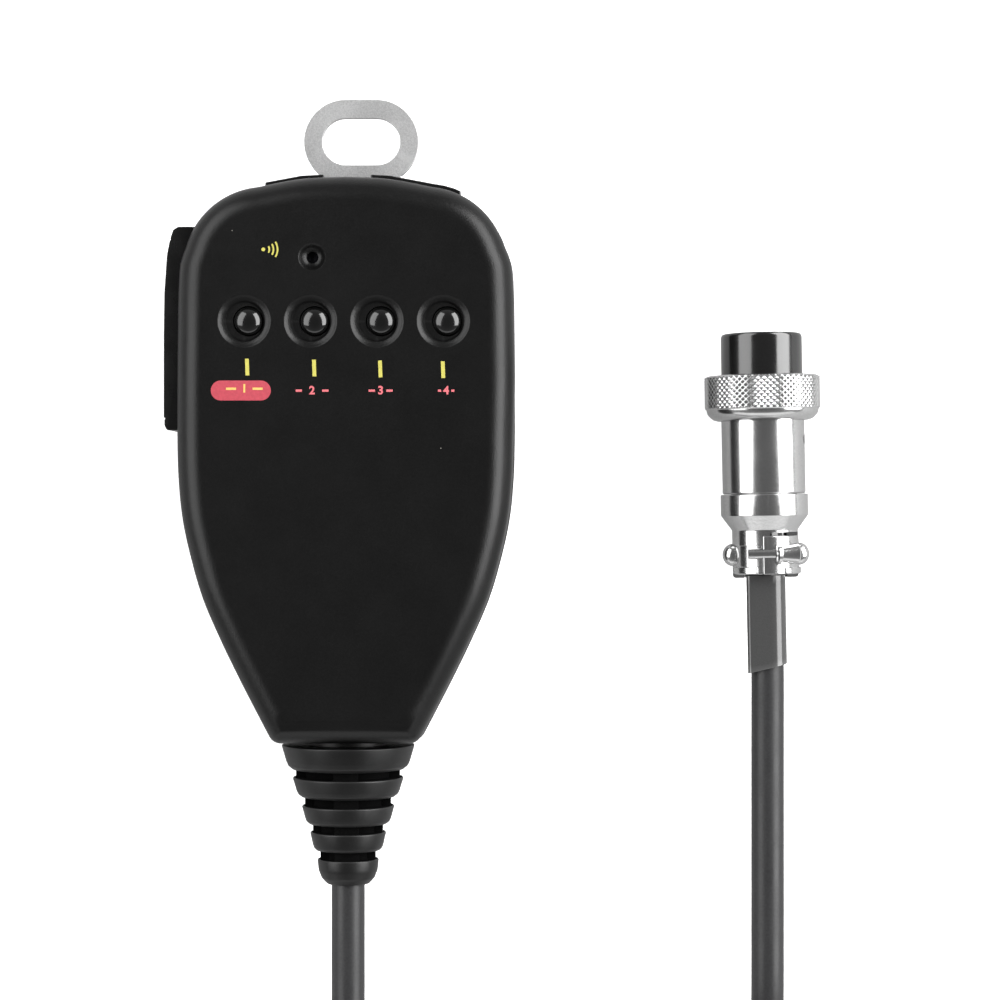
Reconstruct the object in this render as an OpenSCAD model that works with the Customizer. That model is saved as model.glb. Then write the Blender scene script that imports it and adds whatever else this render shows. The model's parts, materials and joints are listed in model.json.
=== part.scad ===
// Hand microphone for a mobile radio, lying on its back with its cord and plug.
// +X to the microphone's right, +Y to its hanger end, +Z out of its front face.
// The origin is on the back face, under the centre of the body.

/* [Body] */
// Width of the body at its widest
body_w = 54; // [53:0.1:55]
// Height of the body's top edge above the centre
body_top = 45.6; // [45:0.1:46]
// Depth of the body's bottom edge below the centre
body_bottom = 45.3; // [44.8:0.1:45.6]
// Thickness of the body, front to back
body_t = 27; // [26.6:0.1:28]
// Thickness of the shells' walls
wall = 2.2; // [1.8:0.1:2.4]
// Width of the rounding round the front face
front_round = 4.4; // [3.6:0.1:4.8]
// Width of the rounding round the back face
back_round = 5.0; // [4:0.1:6]

/* [Keys] */
// Distance between neighbouring front keys
key_pitch = 10.5; // [10.2:0.1:11]
// Height of the key row above the centre
key_y = 22.1; // [21:0.1:23]
// How far the keys sit to the right of their dishes
key_shift = 0.6; // [0:0.1:0.8]
// Radius of a front key's dome
key_r = 2.3; // [2:0.05:2.4]
// Radius of the dish round a key, at the face
dish_r = 4.15; // [3.8:0.05:4.4]
// Travel of a front key
key_travel = 0.5; // [0.3:0.05:0.55]
// Width of the down key on the top face
down_key_w = 9.4; // [8:0.1:10]
// Width of the up key on the top face
up_key_w = 14.4; // [12:0.1:14.8]
// Travel of a top key
top_travel = 0.5; // [0.3:0.05:0.6]

/* [Push-to-talk lever] */
// Lower end of the lever above the centre
lever_low = 5; // [4.6:0.1:5.4]
// Upper end of the lever above the centre
lever_high = 37.6; // [37.2:0.1:37.8]
// How far the lever stands out from the centre line
lever_reach = 29.2; // [28.8:0.1:29.6]
// Height of the lever, front to back
lever_h = 14; // [12:0.5:15]

/* [Hanger plate] */
// Length of the slot
slot_l = 12.6; // [12:0.1:13]
// Width of the slot
slot_w = 7.6; // [7.2:0.05:7.8]
// Metal round the slot
hanger_rim = 3.05; // [2.8:0.05:3.2]
// Centre of the slot above the body's centre
slot_y = 52.1; // [51.8:0.1:52.6]
// Offset of the plate to the right of the body's middle
hanger_x = 2.1; // [0:0.1:2.4]
// Thickness of the plate
hanger_t = 1.4; // [1:0.1:1.6]

/* [Cord] */
// Diameter of the cord
cord_d = 5.4; // [5:0.1:5.5]
// Outer diameter of the curled stretch
curl_d = 16; // [15.6:0.1:17]

/* [Plug] */
// Outer diameter of the coupling ring
ring_d = 19; // [19:0.1:20.2]
// Diameter of the insert
insert_d = 13.3; // [12.8:0.1:13.4]
// Lean of the plug where it lies, in degrees
plug_lean = 1.1; // [0:0.1:1.5]

/* [Hidden] */
$fn = 64;

function rounded(t) = sqrt(max(0, 1 - t * t));

// the body's outline, from the middle of the top down the right side
half_w = body_w / 2;
corner_r = 13.4;
corner_at = [half_w - 14.3, body_top - 15];
bottom_corner_r = 2.4;
bottom_corner_at = [10.2, -body_bottom + bottom_corner_r];
outline_right = concat(
    [[7, body_top - 0.35]],
    [for (a = [84:-6.9:15]) corner_at + corner_r * [cos(a), sin(a)]],
    [[half_w - 0.5, 31.5], [half_w - 0.2, 27.5], [half_w - 0.1, 22], [half_w, 12], [half_w, 3.4],
     [half_w - 0.2, -3], [half_w - 0.85, -9.4], [half_w - 2.25, -15.8], [half_w - 4.15, -22.2],
     [half_w - 6.9, -28.6], [half_w - 10, -35], [half_w - 13.3, -41.4]],
    [for (a = [-27:-21:-90]) bottom_corner_at + bottom_corner_r * [cos(a), sin(a)]]
);
function mirrored(points) = [for (i = [len(points) - 1:-1:0]) [-points[i][0], points[i][1]]];
body_outline = concat([[0, body_top]], outline_right, mirrored(outline_right));

split_z = body_t / 2;
front_in = body_t - 2.4;
back_in = 2.2;
round_steps = 5;

// board heights
board_t = 1.6;
board_top = 19.7;
board_low = board_top - board_t;

// keys
key_x = [for (k = [-1.5:1.5]) k * key_pitch + key_shift];
dish_depth = 1.0;
dish_floor_r = 2.9;
key_bore_r = key_r + 0.2;
switch_w = 6;
switch_h = 3.15;
plunger_r = 1.7;
switch_well = 1.5;
plunger_low = board_top + switch_well + key_travel + 0.2;
plunger_top = 23.5;
key_flange_r = 3.1;

// top keys
up_key_x = 11.2;
down_key_x = -8.2;
top_key_z = 18.8;
top_key_h = 4.6;
top_key_proud = 0.5;
top_stem_x = 9;
top_switch_z = 16.0;
top_plunger_y = 34.9;

// microphone opening
mic_at = [-5, 32.2];

// push-to-talk lever
lever_z = split_z;
pin_at = [-23.4, 7.8];
pin_r = 1.0;
lever_gap = 0.45;
ptt_switch_y = 18;

// fasteners
case_screw_at = [[-16.5, 34.5], [16.5, 34.5], [-10.2, -33], [10.2, -33]];
clamp_screw_at = [7.2, -26.5];
board_screw_at = [[5, 29.5], [-14.5, 10.4], [15.5, 10.4], [0, -22]];

// cord: where it leaves the microphone and the plug, and where its curl lies
cord_r = cord_d / 2;
relief_end = -68.6;
jacket_end = -21;
curl_r = curl_d / 2;
curl_z = curl_r + 0.05;
curl_start = -106;
curl_leg = 64;
curl_apart = 68.6;
tail_low_z = cord_r + 0.2;
mic_tail_route = [
    [0, relief_end, split_z], [0, -75, split_z], [0, -82, 13.5], [0, -90, 13.5], [0, -98, 13.4],
    [0, curl_start, 13.3]
];
plug_axis_z = 9.7;
plug_end = [68.6, -34.4];
plug_tail_route = [
    [plug_end[0], plug_end[1], plug_axis_z], [68.6, -45, 9.7], [68.6, -60, 9.7], [68.6, -75, 9.7],
    [68.6, -86, 9.6], [68.6, -91, 8.7], [68.6, -96, 6.6], [68.6, -101, 4.2],
    [68.6, curl_start, tail_low_z]
];

// places along the plug, from the sleeve's end towards the insert's nose
neck_start = 15.5;
neck_l = 7.8;
taper_start = 23.3;
tail_start = 25.4;
barrel_start = 29.2;
ring_start = 41.2;
ring_l = 7.4;
// the thread's mean radius, as the thread is a plain bore here
thread_r = 7.65;
// the insert's collar keeps the coupling ring's inner lip from sliding off
ring_lip = 0.9;
collar_start = ring_start + ring_lip + 0.06;
collar_end = 43;
collar_r = 7.15;
nose = 55.5;
tail_shell_r = 7.15;
barrel_r = 6.8;
neck_r = 5.4;
sleeve_r = 3.15;
ear_x = 5.6;

// ---- helpers ----

// the body's outline shrunk by an inset, as a thin slice at a height
module slice(z, inset) {
    translate([0, 0, z])
        linear_extrude(0.01)
            offset(delta = -inset)
                polygon(body_outline);
}

// slices that round an outline over from a wall to a face
module rounding(z_wall, z_face, inset_wall, inset_face) {
    for (i = [0:round_steps]) {
        t = i / round_steps;
        lift = sin(90 * t);
        slice(z_wall + (z_face - z_wall) * lift, inset_face + (inset_wall - inset_face) * rounded(lift));
    }
}

// a plain tube along Z
module tube(outer_r, inner_r, h) {
    difference() {
        cylinder(r = outer_r, h = h);
        translate([0, 0, -1])
            cylinder(r = inner_r, h = h + 2);
    }
}

// a pan-head screw that points up, its head's underside at z = 0
module screw(head_r, head_h, shank_r, shank_l) {
    difference() {
        translate([0, 0, -head_h])
            cylinder(r = head_r, h = head_h);
        for (a = [0, 90])
            rotate(a)
                translate([-head_r * 0.6, -0.25, -head_h - 1])
                    cube([head_r * 1.2, 0.5, 1 + head_h / 2]);
    }
    cylinder(r = shank_r, h = shank_l);
}

// moves a plug piece to where it lies, its axis along +Z before
module at_plug() {
    translate([plug_end[0], plug_end[1], plug_axis_z])
        rotate([0, 0, plug_lean])
            rotate([-90, 0, 0])
                children();
}

// a straight tube swept along a route by rings square to it
tube_sides = 10;
function unit(v) = v / norm(v);
function heading(route, i) =
    unit(route[min(i + 1, len(route) - 1)] - route[max(i - 1, 0)]);
function ring_at(point, ahead, r) =
    let (side = unit(cross(ahead, [0, 0, 1])), over = cross(side, ahead))
    [for (k = [0:tube_sides - 1])
        let (a = 360 * (k + 0.5) / tube_sides) point + r * cos(a) * side + r * sin(a) * over];
function end_heading(route, i, ends) =
    (i == 0 || i == len(route) - 1) ? (is_undef(ends) ? heading(route, i) : ends) : heading(route, i);

// ends is the direction square to which both ends are cut
module swept_tube(route, r, ends) {
    rings = len(route);
    points = [for (i = [0:rings - 1]) each ring_at(route[i], end_heading(route, i, ends), r)];
    sides = [for (i = [0:rings - 2], k = [0:tube_sides - 1])
        let (n = (k + 1) % tube_sides, a = i * tube_sides, b = (i + 1) * tube_sides)
        [a + k, a + n, b + n, b + k]];
    near_cap = [for (k = [tube_sides - 1:-1:0]) k];
    far_cap = [for (k = [0:tube_sides - 1]) (rings - 1) * tube_sides + k];
    polyhedron(points, concat([near_cap], sides, [far_cap]), convexity = 4);
}

// ---- shells ----

module lever_opening() {
    translate([-40, lever_low - lever_gap, lever_z - lever_h / 2 - lever_gap])
        cube([19.5, lever_high - lever_low + 2 * lever_gap + 0.3, lever_h + 2 * lever_gap]);
}

module top_key_opening(x, w) {
    translate([x - w / 2 - 0.25, 38, top_key_z - top_key_h / 2 - 0.25])
        cube([w + 0.5, 12, top_key_h + 0.5]);
}

module relief_passage() {
    translate([0, -38, split_z])
        rotate([90, 0, 0])
            cylinder(r = 6.6, h = 12);
    translate([0, -40.4, split_z])
        rotate([90, 0, 0])
            cylinder(r = 8.6, h = 2.2);
}

module front_shell() {
    color([0.11, 0.11, 0.11])
        difference() {
            union() {
                difference() {
                    hull() {
                        slice(split_z, 0);
                        rounding(body_t - 4.4, body_t - 0.01, 0.25, front_round);
                    }
                    hull() {
                        slice(split_z - 1, wall);
                        rounding(front_in - 3, front_in - 0.01, wall + 0.3, front_round + 0.6);
                    }
                }
                // bosses that take the case screws
                for (at = case_screw_at)
                    translate([at[0], at[1], split_z])
                        cylinder(r = 2.8, h = front_in - split_z + 0.5);
                // bosses that carry the board
                for (at = board_screw_at)
                    translate([at[0], at[1], board_top])
                        cylinder(r = 2.2, h = front_in - board_top + 0.5);
                // lug that holds the upper end of the lever's pin
                translate([pin_at[0], pin_at[1], lever_z + lever_h / 2])
                    cylinder(r = 2, h = front_in - lever_z - lever_h / 2 + 0.5);
                // cross wall that holds the relief's flange
                intersection() {
                    translate([-12, -40, split_z])
                        cube([24, 2.4, front_in - split_z + 0.5]);
                    hull() {
                        slice(split_z, 1);
                        slice(front_in + 0.5, 2.8);
                    }
                }
            }
            for (x = key_x)
                translate([x, key_y, 0]) {
                    translate([-key_shift, 0, body_t - dish_depth])
                        cylinder(r1 = dish_floor_r, r2 = dish_r + 0.1, h = dish_depth + 0.1);
                    translate([0, 0, front_in - 1])
                        cylinder(r = key_bore_r, h = 4);
                }
            translate([mic_at[0], mic_at[1], body_t - 0.9])
                cylinder(r1 = 1.4, r2 = 2.25, h = 1);
            translate([mic_at[0], mic_at[1], front_in - 1])
                cylinder(r = 1.2, h = 4);
            for (at = case_screw_at)
                translate([at[0], at[1], split_z - 1])
                    cylinder(r = 1.05, h = 8);
            for (at = board_screw_at)
                translate([at[0], at[1], board_top - 1])
                    cylinder(r = 0.85, h = 5);
            translate([pin_at[0], pin_at[1], lever_z])
                cylinder(r = pin_r + 0.01, h = 9.2);
            lever_opening();
            top_key_opening(up_key_x, up_key_w);
            top_key_opening(down_key_x, down_key_w);
            relief_passage();
            translate([-4.5, -41, split_z - 1])
                cube([9, 4, 5.5]);
        }
}

module rear_shell() {
    color([0.1, 0.1, 0.1])
        difference() {
            union() {
                difference() {
                    hull() {
                        slice(split_z - 0.01, -0.12);
                        rounding(4.6, 0, 0.4, back_round);
                    }
                    hull() {
                        slice(split_z + 1, wall);
                        rounding(back_in + 3, back_in + 0.01, wall + 0.4, back_round + 0.6);
                    }
                }
                for (at = case_screw_at)
                    translate([at[0], at[1], back_in - 0.5])
                        cylinder(r = 3.2, h = split_z - back_in + 0.5);
                // pad that backs the lock knob's well
                translate([-9, 15, back_in - 0.5])
                    cube([18, 11, 1.9]);
                // blocks that take the cord clamp's screws
                for (side = [-1, 1])
                    translate([side * clamp_screw_at[0], clamp_screw_at[1], back_in - 0.5])
                        cylinder(r = 2.1, h = 9.3);
                // lugs that hold the lever's pin
                translate([pin_at[0], pin_at[1], back_in - 0.5])
                    cylinder(r = 2, h = lever_z - lever_h / 2 - back_in);
                intersection() {
                    translate([-12, -40, back_in - 0.5])
                        cube([24, 2.4, split_z - back_in + 0.5]);
                    hull() {
                        slice(split_z, 1);
                        slice(back_in - 0.5, 3.8);
                    }
                }
            }
            for (at = case_screw_at)
                translate([at[0], at[1], 0]) {
                    translate([0, 0, -1])
                        cylinder(r = 2.75, h = 4.4);
                    cylinder(r = 1.45, h = 20);
                }
            // well for the lock knob, and the slot for its stem
            translate([-6.5, 17.4, -1])
                cube([13, 6.2, 2.7]);
            translate([-3.6, 19.2, 0])
                cube([7.2, 2.6, 6]);
            for (side = [-1, 1])
                translate([side * clamp_screw_at[0], clamp_screw_at[1], back_in + 3.8])
                    cylinder(r = 0.85, h = 6);
            translate([pin_at[0], pin_at[1], 3])
                cylinder(r = pin_r + 0.01, h = 8);
            lever_opening();
            // pocket that seats the hanger plate
            translate([hanger_x - 6.55, 31, split_z - hanger_t - 0.02])
                cube([13.1, 16, hanger_t + 1]);
            relief_passage();
            translate([-4.5, -41, split_z - 4.5])
                cube([9, 4, 6]);
        }
}

module slot_shape(l, w) {
    for (side = [-1, 1])
        translate([side * (l - w) / 2, 0])
            circle(d = w);
    square([l - w, w], center = true);
}

module hanger_plate() {
    color([0.72, 0.72, 0.72])
        translate([hanger_x, 0, split_z - hanger_t])
            linear_extrude(hanger_t)
                difference() {
                    union() {
                        translate([0, slot_y])
                            slot_shape(slot_l + 2 * hanger_rim, slot_w + 2 * hanger_rim);
                        translate([-6.5, 32])
                            square([13, 15]);
                    }
                    translate([0, slot_y])
                        slot_shape(slot_l, slot_w);
                    // holes that drop over the rear shell's ribs
                    for (side = [-1, 1])
                        translate([side * 3.6, 36])
                            circle(r = 1.2);
                }
}

module case_screws() {
    color([0.25, 0.25, 0.26])
        for (at = case_screw_at)
            translate([at[0], at[1], 3.4])
                screw(2.5, 1.8, 1.05, 17);
}

// ---- strain relief ----

relief_rings = [
    // [upper edge, radius, height, radius of the core below it]
    [-45.9, 10.7, 4.0, 8.6],
    [-51.2, 8.95, 3.2, 7.2],
    [-55.8, 7.45, 3.0, 6.0],
    [-60.1, 6.1, 3.0, 4.9]
];
relief_tip = [-64.5, 4.95, 4.1];

// one ring's half outline: a cone that rounds over into its lower edge
function cup(top, r, h) =
    [[r, -top], [r * 0.93, -top + h * 0.65], [r * 0.9, -top + h * 0.85], [r * 0.83, -top + h]];

module strain_relief() {
    last = len(relief_rings) - 1;
    outline = concat(
        [[cord_r + 0.04, 40.5], [8.3, 40.5], [8.3, 42.5], [6.4, 42.5], [6.4, -relief_rings[0][0]]],
        [for (i = [0:last])
            let (ring = relief_rings[i], next = i < last ? relief_rings[i + 1][0] : relief_tip[0])
            each concat(cup(ring[0], ring[1], ring[2]), [[ring[3], -ring[0] + ring[2]], [ring[3], -next]])],
        cup(relief_tip[0], relief_tip[1], relief_tip[2]),
        [[cord_r + 0.04, -relief_end]]
    );
    color([0.17, 0.17, 0.17])
        translate([0, 0, split_z])
            rotate([90, 0, 0])
                rotate_extrude()
                    polygon(outline);
}

// ---- boards and what they carry ----

module main_board() {
    color([0.1, 0.32, 0.16])
        difference() {
            translate([0, 0, board_low])
                linear_extrude(board_t)
                    polygon([
                        [-12.6, 36.5], [12.6, 36.5], [12.6, 30.5], [20, 30.5], [20, 2], [16, -12],
                        [12, -25], [-12, -25], [-16, -12], [-18.6, 2], [-18.6, 30.5], [-12.6, 30.5]
                    ]);
            for (at = board_screw_at)
                translate([at[0], at[1], board_low - 1])
                    cylinder(r = 1.15, h = 5);
        }
}

module board_screws() {
    color([0.7, 0.7, 0.68])
        for (at = board_screw_at)
            translate([at[0], at[1], board_low])
                screw(1.9, 1.3, 0.85, 5.2);
}

module key_switches() {
    color([0.2, 0.2, 0.22])
        for (x = key_x)
            translate([x, key_y, board_top])
                difference() {
                    translate([-switch_w / 2, -switch_w / 2, 0])
                        cube([switch_w, switch_w, switch_h]);
                    translate([0, 0, switch_well])
                        cylinder(r = plunger_r + 0.15, h = 4);
                }
}

module key_plunger(i) {
    color([0.85, 0.85, 0.8])
        translate([key_x[i], key_y, plunger_low])
            cylinder(r = plunger_r, h = plunger_top - plunger_low);
}

module key(i) {
    dome_h = 1.5;
    color([0.05, 0.05, 0.05])
        translate([key_x[i], key_y, plunger_top]) {
            cylinder(r = key_flange_r, h = 0.5);
            rotate_extrude()
                polygon(concat(
                    [[0, 0]], [[key_r, 0]],
                    [for (a = [0:10:90])
                        [key_r * cos(a), 27.2 - dome_h - plunger_top + dome_h * sin(a)]]
                ));
        }
}

module key_plunger_1() { key_plunger(0); }
module key_plunger_2() { key_plunger(1); }
module key_plunger_3() { key_plunger(2); }
module key_plunger_4() { key_plunger(3); }
module key_1() { key(0); }
module key_2() { key(1); }
module key_3() { key(2); }
module key_4() { key(3); }

// a key on the top face, its stem reaching its switch
module top_key(x, w, stem_x) {
    stem_low = 37.6;
    color([0.07, 0.07, 0.07])
        union() {
            // the face follows the body's curved top
            intersection() {
                translate([x - w / 2, 41, top_key_z - top_key_h / 2])
                    cube([w, 9, top_key_h]);
                linear_extrude(body_t)
                    offset(delta = top_key_proud)
                        polygon(body_outline);
            }
            translate([stem_x - 1.2, stem_low, top_switch_z - 1])
                cube([2.4, 3.6, 2.6]);
            translate([stem_x - 1.2, 40, top_switch_z - 1])
                cube([2.4, 1.2, 5]);
        }
}

module up_key() { top_key(up_key_x, up_key_w, top_stem_x); }
module down_key() { top_key(down_key_x, down_key_w, -top_stem_x); }

module top_switches() {
    color([0.2, 0.2, 0.22])
        for (side = [-1, 1])
            difference() {
                translate([side * top_stem_x - 3, 32.2, board_low - 4.1])
                    cube([6, 3.6, 4.1]);
                translate([side * top_stem_x, top_plunger_y - top_travel - 0.2, top_switch_z])
                    rotate([-90, 0, 0])
                        cylinder(r = 1.1, h = 3);
            }
}

module top_plunger(side) {
    color([0.85, 0.85, 0.8])
        translate([side * top_stem_x, top_plunger_y, top_switch_z])
            rotate([-90, 0, 0])
                cylinder(r = 1.0, h = 2.65);
}

module up_plunger() { top_plunger(1); }
module down_plunger() { top_plunger(-1); }

// ---- push-to-talk ----

module ptt_lever() {
    x = -lever_reach;
    inner = -25.5;
    nub_end = -20.5;
    nub_y = ptt_switch_y;
    color([0.06, 0.06, 0.06])
        difference() {
            union() {
                translate([0, 0, lever_z - lever_h / 2])
                    linear_extrude(lever_h)
                        polygon([
                            [inner, lever_low], [x + 1.1, lever_low], [x + 0.3, lever_low + 0.3],
                            [x, lever_low + 1.1], [x, 20], [x + 0.1, 27], [x + 0.5, 33],
                            [x + 1.15, lever_high - 1.4], [x + 1.6, lever_high - 0.4],
                            [x + 2.3, lever_high], [-22.6, lever_high], [-23.4, 31], [inner, 26]
                        ]);
                // hinge lug
                translate([pin_at[0], pin_at[1], lever_z - lever_h / 2 + 0.2])
                    cylinder(r = 2, h = lever_h - 6.4);
                translate([inner - 0.5, pin_at[1] - 2, lever_z - lever_h / 2 + 0.2])
                    cube([2.2, 4, lever_h - 6.4]);
                // nub that presses the switch
                translate([inner - 0.5, nub_y - 1.2, lever_z - 2])
                    cube([nub_end - inner + 0.5, 2.4, 4]);
            }
            translate([pin_at[0], pin_at[1], 0])
                cylinder(r = pin_r + 0.05, h = 30);
        }
}

module ptt_pin() {
    color([0.75, 0.75, 0.76])
        translate([pin_at[0], pin_at[1], 3.1])
            cylinder(r = pin_r, h = 19.2);
}

// torsion spring on the pin, above the lever's lug
module ptt_spring() {
    wire_r = 0.28;
    coil_r = pin_r + 0.45;
    turns = 3.5;
    pitch = 0.85;
    low = 14.6 + wire_r;
    leg = 4.5;
    steps = 14;
    coil = [for (i = [0:turns * steps])
        let (a = 360 * i / steps) [coil_r * cos(a), coil_r * sin(a), low + pitch * i / steps]];
    color([0.7, 0.7, 0.72])
        translate([pin_at[0], pin_at[1], 0])
            swept_tube(concat([[coil_r, -leg, low]], coil), wire_r);
}

module ptt_switch() {
    color([0.16, 0.16, 0.18])
        difference() {
            translate([-19.2, ptt_switch_y - 5, 10.2])
                cube([5.6, 10, board_low - 10.2]);
            translate([-19.3, ptt_switch_y, lever_z])
                rotate([0, 90, 0])
                    cylinder(r = 1.15, h = 2.6);
        }
}

module ptt_plunger() {
    color([0.8, 0.2, 0.15])
        translate([-20.45, ptt_switch_y, lever_z])
            rotate([0, 90, 0])
                cylinder(r = 1.05, h = 2.6);
}

// ---- lock switch on the back ----

module lock_switch() {
    color([0.5, 0.5, 0.52])
        difference() {
            translate([-5.5, 18, 3.62])
                cube([11, 5, 4.2]);
            translate([-3.6, 19.2, 3])
                cube([7.2, 2.6, 3.4]);
        }
}

module lock_knob() {
    color([0.08, 0.08, 0.08])
        translate([-1.6, 0, 0]) {
            difference() {
                translate([-3.2, 17.8, 0.3])
                    cube([6.4, 5.4, 1.1]);
                for (k = [-1.5:1:1.5])
                    translate([k - 0.2, 16, 0])
                        cube([0.4, 9, 0.7]);
            }
            translate([-1.6, 19.4, 1.3])
                cube([3.2, 2.2, 4.4]);
        }
}

// ---- microphone capsule ----

module mic_capsule() {
    color([0.75, 0.75, 0.74])
        translate([mic_at[0], mic_at[1], board_top + 0.02])
            cylinder(r = 4.85, h = 4.2);
}

module capsule_boot() {
    color([0.12, 0.12, 0.12])
        translate([mic_at[0], mic_at[1], board_top + 0.02])
            difference() {
                cylinder(r = 5.8, h = 4.86);
                translate([0, 0, -1])
                    cylinder(r = 4.86, h = 5.2);
                cylinder(r = 1.6, h = 6);
            }
}

module dust_screen() {
    color([0.3, 0.3, 0.3])
        translate([mic_at[0], mic_at[1], board_top + 4.24])
            cylinder(r = 1.55, h = 0.5);
}

// ---- circuits ----

module circuits() {
    color([0.12, 0.12, 0.13]) {
        translate([-6, -2, board_top])
            cube([10, 7, 1.8]);
        translate([8, -3, board_top])
            cube([6, 5, 1.5]);
        translate([-13, -6, board_top])
            cube([5, 4, 1.5]);
        for (k = [0:5])
            translate([-9 + 3.2 * k, 11.6, board_top])
                cube([1.7, 0.9, 0.6]);
    }
}

module capacitors() {
    color([0.2, 0.22, 0.35])
        for (x = [-7, 0, 7])
            translate([x, -11, board_top])
                cylinder(r = 2, h = 4);
}

module cord_header() {
    color([0.9, 0.88, 0.8])
        difference() {
            translate([-8.5, -15.5, board_low - 5])
                cube([17, 5, 5]);
            translate([-7.7, -14.8, board_low - 6])
                cube([15.4, 3.6, 2]);
        }
}

// eight insulated conductors from the cord's jacket to the header
module conductors() {
    wire_r = 0.3;
    bunched = 0.63;
    spread = 1.7;
    run = [4.9, 0.7];
    color([0.75, 0.15, 0.12])
        for (k = [-3.5:3.5]) {
            step = [k * (spread - bunched), run[0], run[1]];
            translate([k * bunched, jacket_end + 0.4, split_z])
                rotate([0, acos(step[2] / norm(step)), atan2(step[1], step[0])])
                    cylinder(r = wire_r, h = norm(step));
        }
}

module cord_lead_in() {
    color([0.25, 0.25, 0.26])
        translate([0, jacket_end, split_z])
            rotate([90, 0, 0])
                cylinder(r = cord_r, h = jacket_end - relief_end);
}

module cord_clamp() {
    color([0.62, 0.62, 0.62])
        difference() {
            union() {
                translate([-4.2, clamp_screw_at[1] - 2.5, 11.05])
                    cube([8.4, 5, 6.2]);
                translate([-9.4, clamp_screw_at[1] - 2.5, 11.05])
                    cube([18.8, 5, 1.2]);
            }
            translate([0, -20, split_z])
                rotate([90, 0, 0])
                    cylinder(r = cord_r + 0.02, h = 20);
            translate([-cord_r + 0.2, clamp_screw_at[1] - 4, 10])
                cube([2 * cord_r - 0.4, 8, split_z - 10]);
            for (side = [-1, 1])
                translate([side * clamp_screw_at[0], clamp_screw_at[1], 8])
                    cylinder(r = 1.15, h = 8);
        }
}

module clamp_screws() {
    color([0.7, 0.7, 0.68])
        for (side = [-1, 1])
            translate([side * clamp_screw_at[0], clamp_screw_at[1], 12.25])
                rotate([180, 0, 0])
                    screw(1.9, 1.3, 0.85, 6);
}

// ---- plug ----

contact_at = concat([[0, 0]], [for (k = [0:6]) 3.4 * [cos(360 * k / 7 + 90), sin(360 * k / 7 + 90)]]);
contact_r = 0.9;

module plug_insert() {
    r = insert_d / 2;
    color([0.09, 0.09, 0.09])
        at_plug()
            difference() {
                rotate_extrude()
                    polygon([
                        [0, 39.5], [5.5, 39.5], [5.5, 41.8], [r, 41.8], [r, collar_start],
                        [collar_r, collar_start], [collar_r, collar_end], [r, collar_end],
                        [r, nose - 0.6], [r - 0.2, nose - 0.15], [r - 0.6, nose], [0, nose]
                    ]);
                for (at = contact_at)
                    translate([at[0], at[1], 37])
                        cylinder(r = contact_r, h = 20, $fn = 24);
                // key groove along the insert's under side
                translate([-1.1, r - 0.9, ring_start + ring_l + 1.5])
                    cube([2.2, 1.9, 10]);
            }
}

module plug_contacts() {
    color([0.82, 0.68, 0.35])
        at_plug()
            for (at = contact_at)
                translate([at[0], at[1], 37])
                    difference() {
                        cylinder(r = contact_r - 0.01, h = nose - 37.6, $fn = 24);
                        translate([0, 0, 6])
                            cylinder(r = 0.55, h = 20, $fn = 24);
                    }
}

module plug_barrel() {
    color([0.8, 0.8, 0.8])
        at_plug()
            difference() {
                rotate_extrude()
                    polygon([
                        [5.4, barrel_start], [barrel_r, barrel_start], [barrel_r, 41.75],
                        [5.55, 41.75], [5.55, 39.4], [5.4, 39.4]
                    ]);
                rotate([90, 0, 75])
                    translate([0, 38, 0])
                        cylinder(r = 0.75, h = 10, $fn = 24);
            }
}

module barrel_screw() {
    color([0.3, 0.3, 0.3])
        at_plug()
            rotate([90, 0, 75])
                translate([0, 38, 5.5])
                    difference() {
                        cylinder(r = 0.72, h = 0.7, $fn = 24);
                        translate([-0.8, -0.1, 0.4])
                            cube([1.6, 0.2, 1]);
                    }
}

module plug_tail_shell() {
    color([0.78, 0.78, 0.78])
        at_plug()
            difference() {
                union() {
                    rotate_extrude()
                        polygon([
                            [3.6, taper_start], [neck_r, taper_start],
                            [tail_shell_r, tail_start + 0.3], [tail_shell_r, barrel_start - 0.02],
                            [5.38, barrel_start - 0.02], [5.38, 34], [4.7, 34], [4.7, 27], [3.6, 25]
                        ]);
                    // neck, open on its upper side where the saddle goes
                    difference() {
                        translate([0, 0, neck_start])
                            cylinder(r = neck_r, h = neck_l);
                        translate([0, 0, neck_start - 1])
                            cylinder(r = 3.6, h = neck_l + 2);
                        translate([-10, -10, neck_start - 1])
                            cube([20, 9.8, neck_l - 0.2]);
                    }
                    // ears
                    for (side = [-1, 1])
                        translate([side * 5.5 - 1.6, 0.2, neck_start + 1.7])
                            cube([3.2, 1.6, 4]);
                }
                for (side = [-1, 1])
                    translate([side * ear_x, -1, neck_start + 3.7])
                        rotate([-90, 0, 0])
                            cylinder(r = 0.7, h = 6, $fn = 24);
            }
}

module plug_saddle() {
    color([0.82, 0.82, 0.82])
        at_plug()
            difference() {
                union() {
                    intersection() {
                        translate([0, 0, neck_start + 0.6])
                            cylinder(r = 5.2, h = neck_l - 2.4);
                        translate([-10, -10, 0])
                            cube([20, 9.6, 60]);
                    }
                    for (side = [-1, 1])
                        translate([side * 5.5 - 1.6, -1.8, neck_start + 1.7])
                            cube([3.2, 1.4, 4]);
                }
                translate([0, 0, neck_start - 1])
                    cylinder(r = sleeve_r + 0.04, h = neck_l + 2);
                for (side = [-1, 1])
                    translate([side * ear_x, -6, neck_start + 3.7])
                        rotate([-90, 0, 0]) {
                            cylinder(r = 1.0, h = 12, $fn = 24);
                            cylinder(r = 1.7, h = 4.2, $fn = 24);
                        }
            }
}

module saddle_screws() {
    color([0.75, 0.75, 0.75])
        at_plug()
            for (side = [-1, 1])
                translate([side * ear_x, -1.8, neck_start + 3.7])
                    rotate([-90, 0, 0])
                        screw(1.5, 1.2, 0.7, 3.4);
}

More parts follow.
